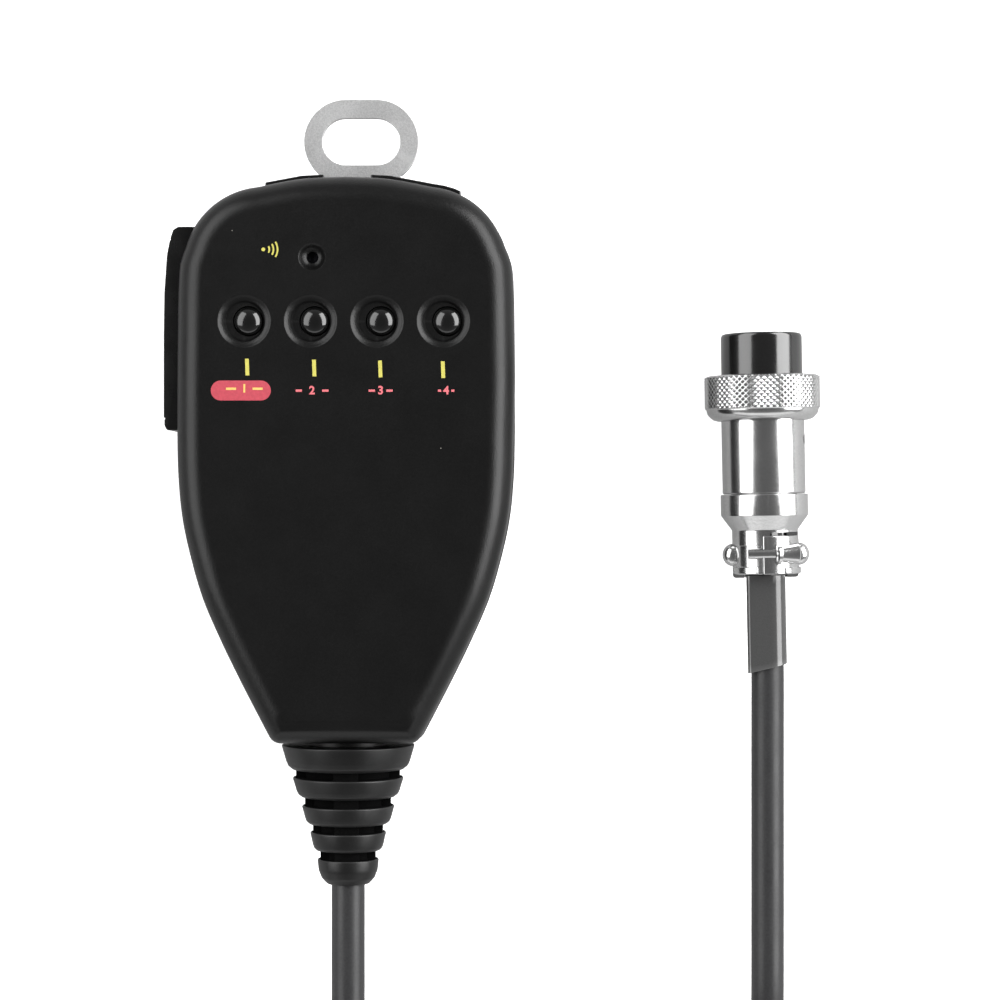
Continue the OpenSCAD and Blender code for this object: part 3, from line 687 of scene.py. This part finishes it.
KEY_X = [-15.15, -4.65, 5.85, 16.35]
KEY_Y = 22.1
KEY_SHIFT = 0.6
MIC_AT = (-5, 32.2)
TOP_KEYS = [(11.2, 14.4), (-8.2, 9.4)]
PIN_AT = (-23.4, 7.8)
LEVER_Z = 13.5
CASE_SCREWS = [(-16.5, 34.5), (16.5, 34.5), (-10.2, -33), (10.2, -33)]


def dish_cutter(x):
    """A dish with a rounded rim, a hollow slope and a deeper floor."""
    slope = [(4.08, 26.92), (3.9, 26.79), (3.7, 26.67), (3.5, 26.59), (3.32, 26.54)]
    rim = [(0, 29), (5.2, 29), (4.34, 27.02), (4.2, 26.99)]
    profile = rim + slope + [(3.2, 26.4), (3.05, 26.1), (2.95, 26), (0, 26)]
    return turned(profile, x - KEY_SHIFT, KEY_Y, 96)


def bore_cutter(x):
    return turned([(0, 27.5), (2.42, 27.5), (2.42, 22), (0, 22)], x, KEY_Y, 64)


def relief_seat():
    """The bore at the case's lower end, with the groove that holds the strain relief's collar."""
    profile = [(0, 10), (6.6, 10), (6.6, 4.6), (8.6, 4.6), (8.6, 2.4), (6.6, 2.4), (6.6, -8), (0, -8)]
    turn = at(0, -38, SPLIT_Z) @ Matrix.Rotation(math.radians(90), 4, "X")
    return mesh_object("cut", *moved(turned(profile, 0, 0), turn))


def build_front():
    made = mesh_object("front_case", *shell_mesh(front_levels, body_outline))
    dishes = mesh_object("cut", *joined(*[dish_cutter(x) for x in KEY_X]))
    mic_bowl = [(0, 29), (3.2, 29), (2.2, 27.02), (2.08, 26.93), (1.75, 26.4), (1.3, 25.95), (0.95, 25.8)]
    mic_hole = turned(mic_bowl + [(0.95, 22), (0, 22)], *MIC_AT, 64)
    bores = mesh_object("cut", *joined(*[bore_cutter(x) for x in KEY_X], mic_hole))
    sides = mesh_object("cut", *joined(
        box_mesh((-40, 4.55, 6.05), (-20.5, 38.35, 20.95)),
        *[box_mesh((x - w / 2 - 0.25, 38, 16.25), (x + w / 2 + 0.25, 50, 21.35)) for x, w in TOP_KEYS],
    ))
    return evened(carve(made, [dishes, bores, sides, relief_seat()]))


def build_back():
    made = mesh_object("rear_case", *shell_mesh(back_levels, body_outline))
    wells = mesh_object("cut", *joined(
        *[turned([(0, -1), (3.2, -1), (2.85, 0.02), (2.75, 0.14), (2.75, 3.4), (0, 3.4)], *p, 48)
          for p in CASE_SCREWS],
        box_mesh((-6.5, 17.4, -1), (6.5, 23.6, 1.7)),
        box_mesh((-40, 4.55, 6.05), (-20.5, 38.35, 20.95)),
        box_mesh((-4.45, 30, 12.08), (8.65, 47, 14)),
    ))
    slot = mesh_object("cut", *box_mesh((-3.6, 19.2, 1.2), (3.6, 21.8, 3)))
    return evened(carve(made, [wells, slot, relief_seat()]))


front_case = finish_piece(build_front(), "root", "shell_black", looks["shell_black"], "front_shell")
rear_case = finish_piece(build_back(), "root", "shell_black", looks["shell_black"], "rear_shell")


# ---- front keys ----

def key_piece(i):
    """A soft key: a dome that draws in to a short straight skirt, on a hidden flange."""
    dome = [(2.3 * math.cos(a), 25.7 + 1.5 * math.sin(a)) for a in [math.pi / 2 * k / 16 for k in range(17)]]
    profile = [(0, 23.5), (3.1, 23.5), (3.1, 24), (2.3, 24)] + dome[:-1] + [(0, 27.2)]
    parts = [turned(profile, KEY_X[i], KEY_Y, 64)]
    return mesh_object(f"key_{i + 1}_cap", *joined(*parts), smooth_under=40)


for i in range(4):
    name = f"key_{i + 1}"
    finish_piece(key_piece(i), name, "key_black", looks["key_black"], name)


# ---- push-to-talk lever ----

def lever_piece():
    x = -29.2
    outline = rounded_corners([
        (-25.5, 5), (x + 0.5, 5, 0.4), (x + 0.1, 5.8, 0.4), (x + 0.1, 6.7), (x + 0.22, 6.8), (x + 0.22, 6.95),
        (x, 7.05), (x, 20), (x + 0.1, 27, 8), (x + 0.5, 33, 8), (x + 0.95, 35.4), (x + 1.1, 35.45),
        (x + 1.12, 35.65), (x + 1.05, 35.7), (x + 1.5, 37.1, 0.5), (x + 2.3, 37.6, 0.6), (-22.6, 37.6, 0.4),
        (-23.4, 31, 4), (-25.5, 26, 6),
    ], 6)
    made = mesh_object("lever", *extruded_mesh(outline, 6.5, 20.5))
    edges = made.modifiers.new("edges", "BEVEL")
    edges.width = 0.45 * MM
    edges.segments = 4
    edges.limit_method = "ANGLE"
    edges.angle_limit = math.radians(60)
    lug = mesh_object("add", *joined(
        moved(turned([(0, 0), (2, 0), (2, 7.6), (0, 7.6)], *PIN_AT, 48), at(0, 0, 6.7)),
    ))
    web = mesh_object("add", *box_mesh((-26, 5.8, 6.7), (-23.8, 9.8, 14.3)))
    nub = mesh_object("add", *box_mesh((-26, 16.8, 11.5), (-20.5, 19.2, 15.5)))
    ribs = []
    for y, stand in ((31.6, 0.41), (30.0, 0.3), (28.4, 0.2), (26.7, 0.1)):
        rib = turned([(0, -5), (0.24, -4.8), (0.34, -4.5), (0.34, 4.5), (0.24, 4.8), (0, 5)], 0, 0, 24)
        ribs.append(moved(rib, at(x + stand + 0.1, y, LEVER_Z)))
    rib_object = mesh_object("add", *joined(*ribs))
    pin_bore = turned([(0, 0), (1.05, 0), (1.05, 20), (0, 20)], *PIN_AT, 32)
    bore = mesh_object("cut", *moved(pin_bore, at(0, 0, 3)))
    carve(made, [lug, web, nub, rib_object], "UNION")
    carve(made, [bore])
    return made


finish_piece(lever_piece(), "ptt_lever", "lever_black", looks["lever_black"], "ptt_lever")


# ---- strain relief ----

RELIEF_RINGS = [
    (-45.9, 10.85, 4.0, 8.35),
    (-51.2, 9.05, 3.2, 6.9),
    (-55.8, 7.55, 3.0, 5.6),
    (-60.1, 6.2, 3.0, 4.4),
]
RELIEF_TIP = (-64.5, 5.0, 4.1)
WEB_HALF = 1.95


def relief_piece():
    """Rubber cups in a row, on a thin core with four webs between each two."""
    tops = [ring[0] for ring in RELIEF_RINGS] + [RELIEF_TIP[0]]
    corners = [(2.74, 40.5), (8.3, 40.5), (8.3, 42.5), (6.4, 42.5), (6.4, 45.9)]
    webs = []
    for k, (top, r, height, core) in enumerate(RELIEF_RINGS):
        under = -top + height
        neck = core * 0.84
        corners += [(r, -top, 0.2), (r * 0.93, -top + height * 0.65, 1.2), (r * 0.9, -top + height * 0.85, 0.6),
                    (r * 0.83, under, 0.3), (neck, under, 0.3), (neck, -tops[k + 1], 0.2)]
        for quarter in range(4):
            web = box_mesh((neck * 0.8, -WEB_HALF, under - 0.4), (core, WEB_HALF, -tops[k + 1] + 0.4))
            webs.append(moved(web, Matrix.Rotation(math.pi / 2 * quarter, 4, "Z")))
    top, r, height = RELIEF_TIP
    corners += [(r, -top, 0.2), (r * 0.96, -top + height * 0.45, 2), (r * 0.86, 67.6, 1.1), (3.4, 68.55, 0.4),
                (2.74, 68.6)]
    turn = at(0, 0, SPLIT_Z) @ Matrix.Rotation(math.radians(90), 4, "X")
    made = mesh_object("relief", *moved(lathe_mesh(rounded_corners(corners, 4), 96), turn))
    web_object = mesh_object("add", *moved(joined(*webs), turn))
    return carve(made, [web_object], "UNION")


relief = finish_piece(relief_piece(), "root", "relief_rubber", looks["relief_rubber"], "strain_relief")
# The second material is painted shade: faces in the grooves between the cups, inside the core, get the
# near-black look.
relief.data.materials.append(looks["relief_groove"])
grooves = [(-top + height - 0.02, core + 0.3) for top, r, height, core in RELIEF_RINGS]
groove_ends = [-ring[0] for ring in RELIEF_RINGS[1:]] + [-RELIEF_TIP[0]]
for face in relief.data.polygons:
    x, y, z = (c / MM for c in face.center)
    out = math.hypot(x, z - SPLIT_Z)
    for (start, core), end in zip(grooves, groove_ends):
        if start < -y < end + 0.02 and out < core:
            face.material_index = 1


# ---- plug ----

def along_plug(part):
    """Moves a piece built round +Z, its height counted from the sleeve's end, to where the plug lies."""
    turn = Matrix.Rotation(PLUG_LEAN, 4, "Z") @ Matrix.Rotation(math.radians(-90), 4, "X")
    return moved(part, Matrix.Translation(PLUG_END) @ turn)


def knurled_ring():
    """The coupling ring: diamond knurling above, a smooth band below, open in the middle."""
    around = 58
    per = 8
    low = 43.15
    high = 48.4
    rows = 45
    depth = 0.2
    outer_r = 9.5
    steps = around * per
    rings = []

    def plain(r, z):
        rings.append([(r * math.cos(2 * math.pi * k / steps), r * math.sin(2 * math.pi * k / steps), z)
                      for k in range(steps)])

    for r, z in ((6.86, 42.1), (6.86, 41.25), (7.4, 41.22), (8.0, 41.38), (8.5, 41.72), (8.9, 42.15),
                 (9.12, 42.55), (9.18, 43.0)):
        plain(r, z)
    for j in range(rows + 1):
        z = low + (high - low) * j / rows
        ring = []
        for k in range(steps):
            across = k / per
            up = j / per
            a = abs(((across + up) % 1) - 0.5) * 2
            b = abs(((across - up) % 1) - 0.5) * 2
            r = outer_r - depth * (1 - min(a, b))
            if j in (0, rows):
                r = outer_r - depth
            angle = 2 * math.pi * k / steps
            ring.append((r * math.cos(angle), r * math.sin(angle), z))
        rings.append(ring)
    for r, z in ((9.1, 48.5), (8.9, 48.6), (8.0, 48.6), (7.65, 48.25), (7.65, 42.1)):
        plain(r, z)
    points = [p for ring in rings for p in ring]
    faces = []
    for a in range(len(rings)):
        b = (a + 1) % len(rings)
        for k in range(steps):
            n = (k + 1) % steps
            faces.append((a * steps + k, a * steps + n, b * steps + n, b * steps + k))
    return mesh_object("knurled_ring", *along_plug((points, faces)), smooth_under=24)


def barrel_piece():
    corners = [
        (5.4, 29.2), (6.6, 29.2, 0.1), (6.8, 29.45, 0.1), (6.8, 41.6, 0.1), (6.6, 41.75), (5.55, 41.75),
        (5.55, 39.4), (5.4, 39.4),
    ]
    made = mesh_object("plug_tube", *along_plug(lathe_mesh(rounded_corners(corners, 3), 128)))
    hole = turned([(0, -10), (0.75, -10), (0.75, 0), (0, 0)], 0, 0, 32)
    turn = Matrix.Rotation(math.radians(90), 4, "X")
    spin = Matrix.Rotation(math.radians(75), 4, "Z")
    drill = moved(hole, spin @ turn @ at(0, 38, 5) @ Matrix.Rotation(math.pi, 4, "X"))
    return carve(made, [mesh_object("cut", *along_plug(drill))])


def sleeve_piece():
    """A tube pressed flat above below the clamp, its lower end cut on a slant."""
    pressed = rounded_corners([(-3.2, -3.1, 0.7), (3.2, -3.15, 2.5), (3.2, 3.15, 2.5), (-3.2, 3.1, 2.5)], 10)
    turn = Matrix.Rotation(math.radians(-5), 2)
    outer = [turn @ Vector(p) for p in pressed]
    round_outer = [p.normalized() * 3.15 for p in outer]
    bore = [p.normalized() * 2.73 for p in outer]
    count = len(outer)
    rings = (
        (outer, 0.0), (outer, 1.5), (outer, 14.5), (outer, 15.9), (round_outer, 16.05), (round_outer, 24.5),
        (bore, 24.5), (bore, 0.0),
    )
    points = []
    for ring, z in rings:
        points += [(p.x, p.y, z + max(0, 1 - z / 8) * 0.7 * (1 + p.x / 3.15)) for p in ring]
    faces = []
    for a in range(len(rings)):
        b = (a + 1) % len(rings)
        for i in range(count):
            j = (i + 1) % count
            faces.append((a * count + i, a * count + j, b * count + j, b * count + i))
    return soften(mesh_object("sleeve", *along_plug((points, faces))), 0.06)


def bent_strip(inner_r, outer_r, start, end, low, high):
    """A strip bent round the plug's axis, its angles in degrees from the right over the top."""
    outline = arc((0, 0), outer_r, start, end, 24) + arc((0, 0), inner_r, end, start, 24)
    return extruded_mesh([(x, -y) for x, y in outline], low, high)


def facing(direction, place):
    """Turns +Z to a direction and moves the origin to a place."""
    turn = Vector((0, 0, 1)).rotation_difference(Vector(direction)).to_matrix().to_4x4()
    return at(*place) @ turn


def tail_shell_piece():
    """The plug's rear shell: a wide band, a taper and the neck, open above where the strap lies."""
    corners = [
        (3.6, 27.0), (3.6, 15.5), (5.4, 15.5, 0.5), (5.4, 23.3, 0.3), (7.15, 25.7, 0.15), (7.15, 29.15, 0.15),
        (5.38, 29.18), (5.38, 34), (4.7, 34), (4.7, 27),
    ]
    made = mesh_object("tail_shell", *along_plug(lathe_mesh(rounded_corners(corners, 3), 128)))
    opening = joined(box_mesh((-9, -9, 14.5), (0.3, -0.2, 20.85)), box_mesh((0.31, -9, 14.4), (9, -0.21, 22.95)))
    return carve(made, [mesh_object("cut", *along_plug(opening))])


def lump(x):
    """A rounded ear beside the clamp."""
    half = [(1.85 * math.sin(a), -1.85 * math.cos(a)) for a in [math.pi * k / 16 for k in range(17)]]
    half = [(0, -1.85)] + half[1:-1] + [(0, 1.85)]
    return moved(turned(half, 0, 0, 32), at(x, -0.5, 19.3) @ Matrix.Diagonal((0.9, 0.85, 1, 1)))


def strap_piece():
    """The clamp's raised strap, its seam left of the middle, with an ear at each side."""
    made = mesh_object("clamp_strap", *along_plug(joined(
        bent_strip(3.2, 5.5, 3, 99, 16.1, 22.35),
        bent_strip(3.2, 5.25, 100, 177, 16.1, 20.9),
        bent_strip(5.0, 5.85, 12, 60, 16.15, 17.2),
        bent_strip(5.0, 5.6, 108, 160, 16.15, 17.4),
        lump(-5.4), lump(5.5),
    )))
    return soften(made, 0.22, 3)


def clamp_screw_piece():
    """A cross-head screw leaning out on the left, and a nut with a cone on the right, joined by a shank."""
    leaning = facing((-0.5, -0.86, 0), (-4.3, -4.4, 19.5))
    domed = turned([(0, -1.6), (1.5, -1.6), (1.62, -0.35), (1.45, 0), (0.9, 0.14), (0, 0.16)], 0, 0, 40)
    head = mesh_object("clamp_screw_pair", *along_plug(moved(domed, leaning)))
    slots = joined(box_mesh((-1.1, -0.2, -0.4), (1.1, 0.2, 1)), box_mesh((-0.2, -1.1, -0.39), (0.2, 1.1, 1.01)))
    carve(head, [mesh_object("cut", *along_plug(moved(slots, leaning)))])
    nut = turned([(0, 0), (1.4, 0), (1.75, 0.2), (1.75, 0.75), (1.3, 1.0), (1.35, 1.3), (1.7, 3.4), (1.78, 3.7),
                  (1.6, 3.95), (0.7, 4.0), (0.5, 3.6), (0, 3.6)], 0, 0, 40)
    shank = turned([(0, 0), (0.85, 0), (0.85, 4.4), (0, 4.4)], 0, 0, 32)
    rest = joined(moved(nut, facing((0.95, 0.3, 0), (1.1, -5.1, 19.4))),
                  moved(shank, facing((1, 0, 0), (-3.2, -4.95, 19.5))))
    return carve(head, [mesh_object("add", *along_plug(rest))], "UNION")


finish_piece(tail_shell_piece(), "root", "plug_chrome", looks["plug_chrome"], "plug_tail_shell")
finish_piece(strap_piece(), "root", "plug_chrome", looks["plug_chrome"], "plug_saddle")
finish_piece(clamp_screw_piece(), "root", "plug_chrome", looks["plug_chrome"], "saddle_screws")
finish_piece(knurled_ring(), "coupling_ring", "plug_chrome", looks["plug_chrome"], "coupling_ring")
finish_piece(barrel_piece(), "root", "plug_chrome", looks["plug_chrome"], "plug_barrel")
sleeve = finish_piece(sleeve_piece(), "root", "sleeve_grey", looks["sleeve_grey"], "plug_sleeve")


# ---- printed marks on the face ----

def flat_mark(name, outlines, material, lift=0.02, z=27.0):
    """Thin printed shapes on the face, each an outline of (x, y) points."""
    made = mesh_object(name, *joined(*[extruded_mesh(o, z - 0.01, z + lift) for o in outlines]))
    return finish_piece(made, "root", None, material)


TICKS = [(-15.25, 14.8), (-4.66, 14.65), (5.78, 14.5), (15.7, 14.4)]
LABELS = [(-15.7, 2.2), (-5.0, 2.35), (5.84, 1.65), (16.2, 1.3)]
LABEL_Y = 11.08
pale_yellow = printed("ink yellow", "d8d068")
coral = printed("ink coral", "f07c84")
rose = printed("ink rose", "c9525f")
amber = printed("ink amber", "ffd27a")


def slanted_bar(x, y, w, h, lean=0.0):
    """A small bar centred on a spot, its top leaning to the left by an angle in degrees."""
    shift = h / 2 * math.tan(math.radians(lean))
    return [(x - w / 2 + shift, y - h / 2), (x + w / 2 + shift, y - h / 2),
            (x + w / 2 - shift, y + h / 2), (x - w / 2 - shift, y + h / 2)]


def stadium(x0, x1, y, h):
    """A bar with round ends."""
    r = h / 2
    return arc((x1 - r, y), r, -90, 90, 16) + arc((x0 + r, y), r, 90, 270, 16)


def numeral(number, x, y, h, name, material, z):
    """A plain numeral printed on the face; the bars beside it are drawn apart."""
    text = bpy.data.curves.new(name, "FONT")
    text.body = str(number)
    text.size = h * 1.38 * MM
    text.align_x = "CENTER"
    text.align_y = "CENTER"
    text.extrude = 0.012 * MM
    text.offset = 0.06 * MM
    holder = bpy.data.objects.new(name + "_text", text)
    scene.collection.objects.link(holder)
    depsgraph = bpy.context.evaluated_depsgraph_get()
    mesh = bpy.data.meshes.new_from_object(holder.evaluated_get(depsgraph))
    bpy.data.objects.remove(holder)
    mesh.transform(Matrix.Translation((x * MM, y * MM, z * MM)))
    made = link(name, mesh)
    return finish_piece(made, "root", None, material)


flat_mark("key_ticks", [slanted_bar(x, y, 0.6, 2.65, 2) for x, y in TICKS], pale_yellow)
flat_mark("rose_pill", [stadium(-21.0, -11.5, 11.1, 3.15)], rose)
bars = []
for number, (x, half) in enumerate(LABELS, start=1):
    ink = amber if number == 1 else coral
    height = 27.03 if number == 1 else 27.01
    numeral(number, x, LABEL_Y + (0.3 if number == 1 else 0), 1.3, f"key_number_{number}", ink, height)
flat_mark("label_bars", [slanted_bar(x + side * (half - 0.25), LABEL_Y, 0.5 if half < 1.5 else 1.0, 0.36)
                         for x, half in LABELS[1:] for side in (-1, 1)], coral)
flat_mark("pill_bars", [slanted_bar(LABELS[0][0] + side * 2.1, LABEL_Y + 0.3, 1.6, 0.36) for side in (-1, 1)],
          amber, 0.04, 27.01)


def sound_mark(x, y):
    """Three nested arcs beside a dot."""
    shapes = [arc((x - 1.5, y), 0.3, 0, 330, 11)]
    for r in (0.95, 1.6, 2.25):
        shapes.append(arc((x - 1.5, y), r + 0.13, -32, 32, 10) + arc((x - 1.5, y), r - 0.13, 32, -32, 10))
    return shapes


flat_mark("sound_mark", sound_mark(-11.2, 33.4), pale_yellow)


# ---- the CAD nodes that stay ----

slot_of = {part["node"]: part["material_slot"] for part in frame["record"]["subparts"]}
softened = {
    "hanger_plate": 0.07, "case_screws": 0.12,
    "plug_insert": 0.12, "up_key": 0.45, "down_key": 0.45, "lock_knob": 0.12, "main_board": 0.08,
    "board_screws": 0.1, "cord_clamp": 0.12, "clamp_screws": 0.1,
}
replaced = {
    "front_shell", "rear_shell", "key_1", "key_2", "key_3", "key_4", "ptt_lever", "strain_relief",
    "coupling_ring", "plug_barrel", "plug_tail_shell", "plug_sleeve", "plug_saddle", "saddle_screws",
    "cord_mic_tail", "cord_curl", "cord_plug_tail",
}
for name, made in frame["nodes"].items():
    if name in replaced:
        continue
    soften(made, softened.get(name, 0.06))
    made.data.materials.clear()
    made.data.materials.append(looks[slot_of[name]])
